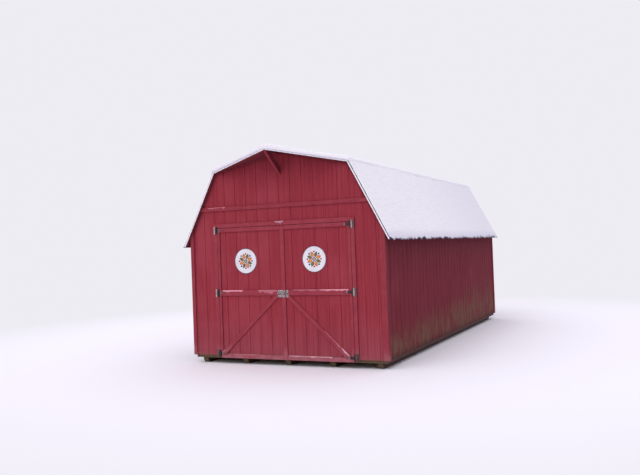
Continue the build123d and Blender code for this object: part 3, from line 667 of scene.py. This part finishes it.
def steep_snow(side, name, front_lap, taper):
    """The thin layer on a steep slope: smooth, and along the eave it ends in short teeth over the dark
    shingles. front_lap is how far it reaches past the front end of the roof, and taper how far in it takes
    to reach its full depth."""
    course = LOWER_LENGTH / LOWER_COURSES
    ys = edged(-ROOF_END - front_lap, ROOF_END - 2 * MM, count=660, rings=[0.0, 3 * MM, 7 * MM, 12 * MM])
    fixed = [-6 * MM] + [c * course + step for c in range(LOWER_COURSES - 1)
                         for step in (2 * MM, 0.35 * course, 0.7 * course, course - 2 * MM)]
    last_rows = 13
    grid_top, grid_bottom = [], []
    for i in range(len(fixed) + last_rows):
        past = i - len(fixed) + 1
        top_row, bottom_row = [], []
        for y in ys:
            teeth = 0.5 + 1.2 * ripple(side + 4, y, 0.055) + 0.6 * ripple(side + 9, y, 0.021)
            foot = LOWER_LENGTH + EAVE_LAP - TOOTH * min(1.0, max(0.0, teeth))
            along = fixed[i] if past < 1 else fixed[-1] + (foot - fixed[-1]) * past / last_rows
            edge = min(y - ys[0], ys[-1] - y)
            butt_share = 0.5 + 0.12 * ripple(19, along, 0.1, y, 0.5)
            deep = 11 * MM + 2 * MM * ripple(10, along, 0.6, y, 1.2)
            deep += (0.8 * MM * ripple(11 + side, along, 0.05, y, 0.3)
                     + 0.6 * MM * ripple(14, along, 0.05, y, 0.05))
            deep *= rounded(foot - along, 18 * MM) * rounded(edge, taper)
            # near the eave the snow has holes down to the shingles
            worn = max(0.0, 1 - (foot - along) / EAVE_WEAR)
            deep -= 40 * MM * worn * max(0.0, ripple(17 + side, along, 0.045, y, 0.06) - 0.16)
            base = DECK + SHINGLE_TOP + (SHINGLE_BUTT - SHINGLE_TOP) * butt_share
            top_row.append(slope_point(side, y, max(base + deep, DECK - 3 * MM), along))
            bottom_row.append(slope_point(side, y, DECK - 4 * MM, along))
        grid_top.append(top_row)
        grid_bottom.append(bottom_row)
    return blanket(name, grid_top, grid_bottom)


upper_snow()
steep_snow(1, "roof_snow_right", front_lap=-6 * MM, taper=9 * MM)
steep_snow(-1, "roof_snow_left", front_lap=13 * MM, taper=90 * MM)


# Snow caught on the ledges of the boards

LEDGE_STEP = 11 * MM
LEDGE_TAPER, LONG_LEDGE = 40 * MM, 0.3
# across a ledge: depth from the wall, share of the height, share of the droop
LEDGE_PROFILE = ((0, 0, 0), (0.06, 0.6, 0), (0.2, 0.9, 0), (0.5, 1, 0), (0.8, 0.85, 0), (1.0, 0.5, 0),
                 (1.13, 0, 0), (1.16, 0, 0.5), (1.1, 0, 0.9), (1.0, 0, 1))


def run_and_up(start, end):
    """The way from start to end, both (x, z), and the direction square to it that points up."""
    run = Vector((end[0] - start[0], 0, end[1] - start[1]))
    up = Vector((-run.z, 0, run.x)).normalized()
    return run, -up if up.z < 0 else up


def ledge_snow(name, body, start, end, height, seed, droop, least, finish):
    """A thin bank of snow on a board's top edge, from start to end (x, z) on the front, which hangs over
    the board's face by droop. Its random swell is never under least."""
    run, up = run_and_up(start, end)
    count = max(6, round(run.length / LEDGE_STEP))
    taper = LEDGE_TAPER if run.length > LONG_LEDGE else run.length / 2
    bottom = [(min(deep, 0.95), 0, hang) for deep, _, hang in LEDGE_PROFILE]
    tops, bottoms = [], []
    for i in range(count + 1):
        share = i / count
        foot = Vector((start[0], 0, start[1])) + run * share
        ends = rounded(min(share, 1 - share) * run.length, taper)
        swell = 0.7 + 0.8 * ripple(seed, foot.x, 0.09) + 0.5 * ripple(seed + 3, foot.x, 0.03)
        size = max(least, swell) * ends
        rings = []
        for profile, lift in ((LEDGE_PROFILE, 0.0), (bottom, -0.6 * MM)):
            rings.append([tuple(foot + Vector((0, FRONT - BOARD * deep * (0.9 + 0.1 * ends), 0))
                                + up * (rise * height * size - hang * droop * size + lift))
                          for deep, rise, hang in profile])
        tops.append(rings[0])
        bottoms.append(rings[1])
    return blanket(name, tops, bottoms, body, finish)


def edge_points(foot, head, first, last):
    """Two points on a door brace's upper edge: shares of its centre line from foot (x, z) to head."""
    line, up = run_and_up(foot, head)
    ends = [Vector((foot[0], 0, foot[1])) + line * share + up * NARROW_HALF for share in (first, last)]
    return [(p.x, p.z) for p in ends]


MID_TOP = MID_RAIL + WIDE_HALF
FOOT_TOP = DOOR_LOW + 2 * FOOT_HALF
HEADER_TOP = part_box("doorway_trim")[1].z
GABLE_TRIM_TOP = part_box("gable_trim")[1].z
LEFT_BRACE = ((-1.150, FOOT_TOP), (-0.109, MID_RAIL - WIDE_HALF))
RIGHT_BRACE = ((1.084, FOOT_TOP), (0.062, MID_RAIL - WIDE_HALF))
# body, start, end, height and droop in millimetres, least swell, finish
ledges = [
    ("left_door", (-1.14, MID_TOP), (-0.74, MID_TOP), 2, 30, 0.75, rail_frost),
    ("left_door", (-0.46, MID_TOP), (-0.10, MID_TOP), 1.5, 58, 0.1, frost_film),
    ("right_door", (0.16, MID_TOP), (0.72, MID_TOP), 1.5, 24, 0.5, frost_film),
    ("right_door", (0.62, MID_TOP), (1.13, MID_TOP), 2, 29, 0.6, rail_frost),
    ("left_door", (-0.98, FOOT_TOP), (-0.40, FOOT_TOP), 1.5, 18, 0.3, frost_film),
    ("right_door", (0.06, FOOT_TOP), (0.82, FOOT_TOP), 2, 16, 0.4, foot_frost),
    ("building", (-0.12, HEADER_TOP), (0.05, HEADER_TOP), 1.5, 50, 0.55, header_frost),
    ("building", (-1.38, GABLE_TRIM_TOP), (-1.02, GABLE_TRIM_TOP), 1.5, 24, 0.3, frost_film),
    ("right_door", *edge_points(*RIGHT_BRACE, 0.0, 0.13), 3, 22, 0.7, foot_frost),
    ("right_door", *edge_points(*RIGHT_BRACE, 0.11, 0.24), 2, 20, 0.6, frost_film),
    ("right_door", *edge_points(*RIGHT_BRACE, 0.21, 0.40), 1.5, 12, 0.3, frost_film),
    ("left_door", *edge_points(*LEFT_BRACE, 0.0, 0.05), 2, 10, 0.3, rail_frost),
]
for number, (body, start, end, tall, droop, least, finish) in enumerate(ledges):
    ledge_snow("ledge_snow_%02d" % number, body, start, end, tall * MM, number, droop * MM, least, finish)


# Screws, nails and bolts

def heads(name, body, places, radius, height, finish, slot, facing=(0, -1, 0)):
    """Domed heads of one size at points on a flat face."""
    shape = bmesh.new()
    turn = Vector(facing).to_track_quat("Z", "Y").to_matrix().to_4x4()
    for place in places:
        ball = bmesh.ops.create_uvsphere(shape, u_segments=10, v_segments=6, radius=1.0)
        for v in ball["verts"]:
            if v.co.z < -1e-4:
                v.co.z = -0.15
        bmesh.ops.scale(shape, verts=ball["verts"], vec=(radius, radius, height))
        bmesh.ops.transform(shape, verts=ball["verts"], matrix=Matrix.Translation(place) @ turn)
    return piece(name, body, shape, finish)


STEEL, LOW_HINGE = 3 * MM, 66 * MM
STEEL_FACE = FRONT - BOARD - STEEL
HINGE_LEVELS = (DOOR_LOW + LOW_HINGE, MID_RAIL, DOOR_HIGH - NARROW_HALF)
# millimetres from the pin towards the door, and up from the hinge's middle
PLATE_BOLTS = ((-24, 48), (-50, 22), (-50, -22), (-24, -48))
STRAP_BOLTS = ((34, 0), (78, 0), (122, 0), (146, 0))
# radius and height of the heads, and the screws' distance from the latch's edges
BOLT_HEAD = (5.5 * MM, 3.5 * MM)
SCREW_HEAD = (5 * MM, 2.5 * MM)
SCREW_IN, SCREW_UP = 10 * MM, 12 * MM
NAIL_HEAD = (4.5 * MM, 1.2 * MM)


def hinge_bolts(name, body, pins, places):
    """The bolts of the hinges on pins = (x, 1 or -1 for the way to the door)."""
    spots = [(pin + way * dx * MM, STEEL_FACE, level + dz * MM)
             for level in HINGE_LEVELS for pin, way in pins for dx, dz in places]
    heads(name, body, spots, *BOLT_HEAD, screw_grey, "weathered_steel")


left_pin, right_pin = (PIN_LEFT, 1), (PIN_RIGHT, -1)
hinge_bolts("hinge_plate_bolts", "building", (left_pin, right_pin), PLATE_BOLTS)
hinge_bolts("left_strap_bolts", "left_door", (left_pin,), STRAP_BOLTS)
hinge_bolts("right_strap_bolts", "right_door", (right_pin,), STRAP_BOLTS)

for node, body in (("latch_bolt", "left_door"), ("latch_keeper", "right_door")):
    low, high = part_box(node)
    spots = [(x, STEEL_FACE, z) for x in (low.x + SCREW_IN, high.x - SCREW_IN)
             for z in (low.z + SCREW_UP, high.z - SCREW_UP)]
    heads(node + "_screws", body, spots, *SCREW_HEAD, zinc, "galvanised_steel")

# pitch, distance from the ends of a column, and the column's distance from its stud's grid line
NAIL_PITCH, NAIL_INSET, NAIL_ASIDE = 0.3, 60 * MM, 35 * MM
BESIDE_DOORS = (-1.6, -1.29, 1.31, 1.59)


def front_top(x):
    """How high the front siding reaches at x, up to its joint under the gable board."""
    return min(SHEET_TOP, EAVE_Z + (EAVE_X - abs(x)) * math.tan(LOWER_SLOPE) - 20 * MM)


def gable_top(x):
    """How high the gable's siding reaches at x."""
    return RIDGE_Z - abs(x) * math.tan(UPPER_SLOPE) - 10 * MM


def nail_rows(columns, low, top_of):
    """The nails up each column, each as its column and its height."""
    return [(c, z) for c in columns for z in spaced(low + NAIL_INSET, top_of(c) - NAIL_INSET, NAIL_PITCH)]


def stud_nails(reach, low, top_of):
    """The nails up the studs of an end wall, as far as reach studs from the middle one."""
    return nail_rows([n * STUD_PITCH + NAIL_ASIDE for n in range(-reach, reach + 1)], low, top_of)


def nails(name, places, facing=(0, -1, 0)):
    """Siding nails on the building, as one piece."""
    heads(name, "building", places, *NAIL_HEAD, screw_red, "red_siding", facing)


front_nails = nail_rows(BESIDE_DOORS, WALL_FOOT, front_top) + stud_nails(1, HEADER_TOP, front_top)
gable_nails = stud_nails(1, SHEET_TOP, gable_top)
back_nails = stud_nails(2, WALL_FOOT, front_top) + gable_nails
nails("front_siding_nails", [(x, FRONT, z) for x, z in front_nails])
nails("front_gable_nails", [(x, FRONT, z) for x, z in gable_nails])
nails("back_siding_nails", [(x, -FRONT, z) for x, z in back_nails], (0, 1, 0))
side_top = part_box("right_wall")[1].z
side_columns = [y + 30 * MM for y in spaced(FRONT + 35 * MM, -FRONT - 54 * MM, STUD_PITCH)]
side_nails = nail_rows(side_columns, WALL_FOOT, lambda y: side_top)
for side, name in ((1, "right"), (-1, "left")):
    nails(name + "_siding_nails", [(side * HALF_WIDTH, y, z) for y, z in side_nails], (side, 0, 0))


# Round signs: a turned-over rim and a generic rosette

# the rim's section in millimetres: past the disc's edge, and back from its face
RIM_SECTION = ((0.5, 0.5), (1.5, -2.5), (-1, -4), (-5, -3), (-7, 0.5))
# start, length and width of the leaves, and ring and radius of the dots
LONG_LEAF = (30 * MM, 98 * MM, 54 * MM)
SHORT_LEAF = (50 * MM, 50 * MM, 20 * MM)
DOT_RING, DOT_RADIUS, MIDDLE_RADIUS = 116 * MM, 15 * MM, 29 * MM
RIM_STEPS, DOT_STEPS, LEAF_STEPS = 72, 14, 8


def full_turn(steps):
    """Angles in even steps round a circle."""
    return [2 * math.pi * i / steps for i in range(steps)]


def sign_rim(name, body, centre, radius, face_y):
    """The rolled steel edge round a sign."""
    shape = bmesh.new()
    section = [(radius + past * MM, back * MM) for past, back in RIM_SECTION]
    x, z = centre
    verts = [[shape.verts.new((x + r * math.cos(turn), face_y + back, z + r * math.sin(turn)))
              for r, back in section] for turn in full_turn(RIM_STEPS)]
    for here, after in zip(verts, verts[1:] + verts[:1]):
        for j in range(len(section)):
            k = (j + 1) % len(section)
            shape.faces.new((here[j], here[k], after[k], after[j]))
    return piece(name, body, shape, rim_enamel)


def slab(shape, outline, front_y, back_y):
    """A flat solid from an outline of (x, z) points; gives its faces."""
    far = [shape.verts.new((x, back_y, z)) for x, z in outline]
    near = [shape.verts.new((x, front_y, z)) for x, z in outline]
    faces = [shape.faces.new(near), shape.faces.new(far[::-1])]
    for i in range(len(outline)):
        j = (i + 1) % len(outline)
        faces.append(shape.faces.new((far[i], far[j], near[j], near[i])))
    return faces


def petal(turn, start, length, width):
    """A pointed leaf outline that leaves the middle at an angle."""
    side = [(start + length * t / LEAF_STEPS, width / 2 * math.sin(math.pi * t / LEAF_STEPS))
            for t in range(LEAF_STEPS + 1)]
    points = side + [(r, -w) for r, w in reversed(side[1:-1])]
    c, s = math.cos(turn), math.sin(turn)
    return [(r * c - w * s, r * s + w * c) for r, w in points]


def dot(turn, distance, radius):
    """A round outline, its middle at a distance from the disc's middle."""
    cx, cz = distance * math.cos(turn), distance * math.sin(turn)
    return [(cx + radius * math.cos(a), cz + radius * math.sin(a)) for a in full_turn(DOT_STEPS)]


def rosette(name, body, centre, face_y):
    """Eight leaves round a disc with dots between them. Each outline goes with its place in sign_paints."""
    shape = bmesh.new()
    outlines = []
    for i in range(8):
        turn = math.pi / 8 + i * math.pi / 4
        outlines += [(petal(turn, *LONG_LEAF), (0, 2)[i % 2]), (petal(turn, *SHORT_LEAF), (3, 1)[i % 2]),
                     (dot(turn + math.pi / 8, DOT_RING, DOT_RADIUS), (4, 1)[i % 2])]
    outlines += [(dot(0, 0, MIDDLE_RADIUS), 4), (dot(0, 0, DOT_RADIUS), 3)]
    # each patch stands a little prouder than the one before
    for order, (outline, finish) in enumerate(outlines):
        placed = [(centre[0] + x, centre[1] + z) for x, z in outline]
        for face in slab(shape, placed, face_y - (0.6 + 0.03 * order) * MM, face_y + 0.2 * MM):
            face.material_index = finish
    return piece(name, body, shape, sign_paints, smooth=False)


rim_enamel = enamel("blue_grey_enamel_rim", "565a6c", "6f6b78")
sign_paints = [enamel(colour + "_sign_paint", tone, chalk) for colour, tone, chalk in
               (("orange", "c2551d", "b8622e"), ("red", "b02a24", "a33d33"), ("green", "35602c", "4b7040"),
                ("yellow", "d9a92c", "cfae4c"), ("blue", "26366e", "3f4c7c"))]
for side in ("left", "right"):
    low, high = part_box(side + "_door_sign")
    middle, radius = (low + high) / 2, (high.x - low.x) / 2
    sign_rim(side + "_sign_rim", side + "_door", (middle.x, middle.z), radius, low.y)
    rosette(side + "_sign_rosette", side + "_door", (middle.x, middle.z), low.y)


# The right door's boards, with a steeper brace than the CAD node has

def brace_outline(foot, head, low, high, cut_x):
    """Corners (x, z) of a sloping board between two levels, cut upright where it meets the other door."""
    slope = (head[0] - foot[0]) / (head[1] - foot[1])
    wide = NARROW_HALF * math.hypot(1, slope)
    near = foot[0] + (low - foot[1]) * slope
    top = head[0] + (high - head[1]) * slope
    cut_z = head[1] + (cut_x + wide - head[0]) / slope
    return [(near - wide, low), (near + wide, low), (top + wide, high), (cut_x, high), (cut_x, cut_z)]


def right_door_boards():
    """The node's own rails and stile, and its brace drawn anew to RIGHT_BRACE."""
    shape = bmesh.new()
    shape.from_mesh(nodes["right_door_trim"].data)
    bmesh.ops.remove_doubles(shape, verts=shape.verts, dist=WELD)
    # the node's brace is the one part with more than eight corners
    brace, seen = [], set()
    for first in list(shape.verts):
        island, waiting = [], [first]
        while waiting:
            corner = waiting.pop()
            if corner not in seen:
                seen.add(corner)
                island.append(corner)
                waiting += [edge.other_vert(corner) for edge in corner.link_edges]
        if len(island) > 8:
            brace = island
    low, high = min(v.co.z for v in brace), max(v.co.z for v in brace)
    cut_x = min(v.co.x for v in brace)
    bmesh.ops.delete(shape, geom=brace, context="VERTS")
    slab(shape, brace_outline(*RIGHT_BRACE, low, high, cut_x), FRONT - BOARD, FRONT)
    made = piece("right_door_boards", "right_door", shape, door_boards)
    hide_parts("right_door_trim")
    return made


# Eased edges on the boards

def ease_edges(things, width):
    """Joins the split corners of a board's mesh and rounds its edges a little."""
    for thing in things:
        weld = thing.modifiers.new("weld", "WELD")
        weld.merge_threshold = WELD
        bevel = thing.modifiers.new("eased", "BEVEL")
        bevel.width, bevel.segments = width, 2
        bevel.limit_method, bevel.angle_limit = "ANGLE", math.radians(40)
        bevel.harden_normals = True


EASED = ("corner_boards", "doorway_trim", "gable_trim", "left_door_trim", "prow_brace", "runners")
ease_edges([nodes[name] for name in EASED] + [right_door_boards()], width=2 * MM)


# Floor, light and camera

BACKDROP = "eeecf3"
FLOOR_REACH = 60.0
FADE_FROM, FADE_TO = 6.0, 11.0
HORIZON_LIGHT, ZENITH_LIGHT = 0.24, 1.3
# the photograph's viewpoint, solved from the shed's own straight edges
CAMERA_AT = (5.4619, -13.6932, 1.8517)
YAW, PITCH, ROLL = (math.radians(a) for a in (-25.5238, 0.7833, -2.152))
FOCAL_PX, PHOTO_WIDE_PX, SENSOR_MM = 721.25, 640, 36


def plain_rays(tree):
    """1 for what the camera sees, straight or mirrored, and 0 for what only lights the shed."""
    rays = add(tree, "LightPath").outputs
    return reckon(tree, "MAXIMUM", rays["Is Camera Ray"], rays["Is Glossy Ray"])


def fade_floor():
    """A pale matt floor that fades into the backdrop away from the shed."""
    mesh = bpy.data.meshes.new("floor")
    corners = [(x * FLOOR_REACH, y * FLOOR_REACH, 0) for x, y in ((-1, -1), (1, -1), (1, 1), (-1, 1))]
    mesh.from_pydata(corners, [], [(0, 1, 2, 3)])
    floor = linked("floor", mesh)
    made, tree, at = material("pale_floor", "f2f0f7", 0.95, specular=0.1)
    far = add(tree, "VectorMath", {0: at}, operation="LENGTH").outputs["Value"]
    fade = between(tree, far, FADE_FROM, FADE_TO)
    glow = add(tree, "Emission", {"Color": linear(BACKDROP), "Strength": 1.0})
    share = times(tree, fade, plain_rays(tree))
    both = add(tree, "MixShader", {0: share, 1: tree.nodes[MAIN].outputs[0], 2: glow.outputs[0]})
    out = next(n for n in tree.nodes if n.type == "OUTPUT_MATERIAL")
    tree.links.new(both.outputs[0], out.inputs[0])
    mesh.materials.append(made)


def sky():
    """An overcast sky, dim along the horizon and bright overhead; the camera sees a plain backdrop."""
    world = bpy.data.worlds.new("sky")
    bpy.context.scene.world = world
    world.use_nodes = True
    tree = world.node_tree
    tree.nodes.clear()
    aim = axes_of(tree, add(tree, "TexCoord").outputs["Generated"])
    level = between(tree, aim["Z"], 0.0, 1.0, HORIZON_LIGHT, ZENITH_LIGHT)
    lit = add(tree, "Background", {"Color": linear("f6f4fb"), "Strength": level})
    seen = add(tree, "Background", {"Color": linear(BACKDROP), "Strength": 1.0})
    both = add(tree, "MixShader", {0: plain_rays(tree), 1: lit.outputs[0], 2: seen.outputs[0]})
    add(tree, "OutputWorld", {"Surface": both.outputs[0]})


def sun(name, towards, strength, spread_deg):
    """A wide soft sun that shines along towards."""
    lamp = bpy.data.lights.new(name, "SUN")
    lamp.energy, lamp.angle = strength, math.radians(spread_deg)
    made = linked(name, lamp)
    made.rotation_mode = "QUATERNION"
    made.rotation_quaternion = Vector(towards).to_track_quat("-Z", "Y")


def camera():
    """The photograph's viewpoint: to the right of the front, at about head height, slightly rolled."""
    level = Matrix(((math.cos(YAW), -math.sin(YAW), 0), (0, 0, -1), (math.sin(YAW), math.cos(YAW), 0)))
    tip = Matrix(((1, 0, 0), (0, math.cos(PITCH), math.sin(PITCH)), (0, -math.sin(PITCH), math.cos(PITCH))))
    lean = Matrix(((math.cos(ROLL), -math.sin(ROLL), 0), (math.sin(ROLL), math.cos(ROLL), 0), (0, 0, 1)))
    right, down, ahead = lean @ tip @ level
    data = bpy.data.cameras.new("camera")
    data.sensor_width = SENSOR_MM
    data.lens = FOCAL_PX * SENSOR_MM / PHOTO_WIDE_PX
    data.clip_end = 500
    made = linked("camera", data)
    turn = Matrix((right, -down, -ahead)).transposed()
    made.matrix_world = Matrix.Translation(CAMERA_AT) @ turn.to_4x4()
    bpy.context.scene.camera = made


fade_floor()
sky()
sun("soft_sun", towards=(0.12, 0.85, -0.68), strength=1.0, spread_deg=60)
camera()
bpy.context.scene.view_settings.view_transform = "Standard"
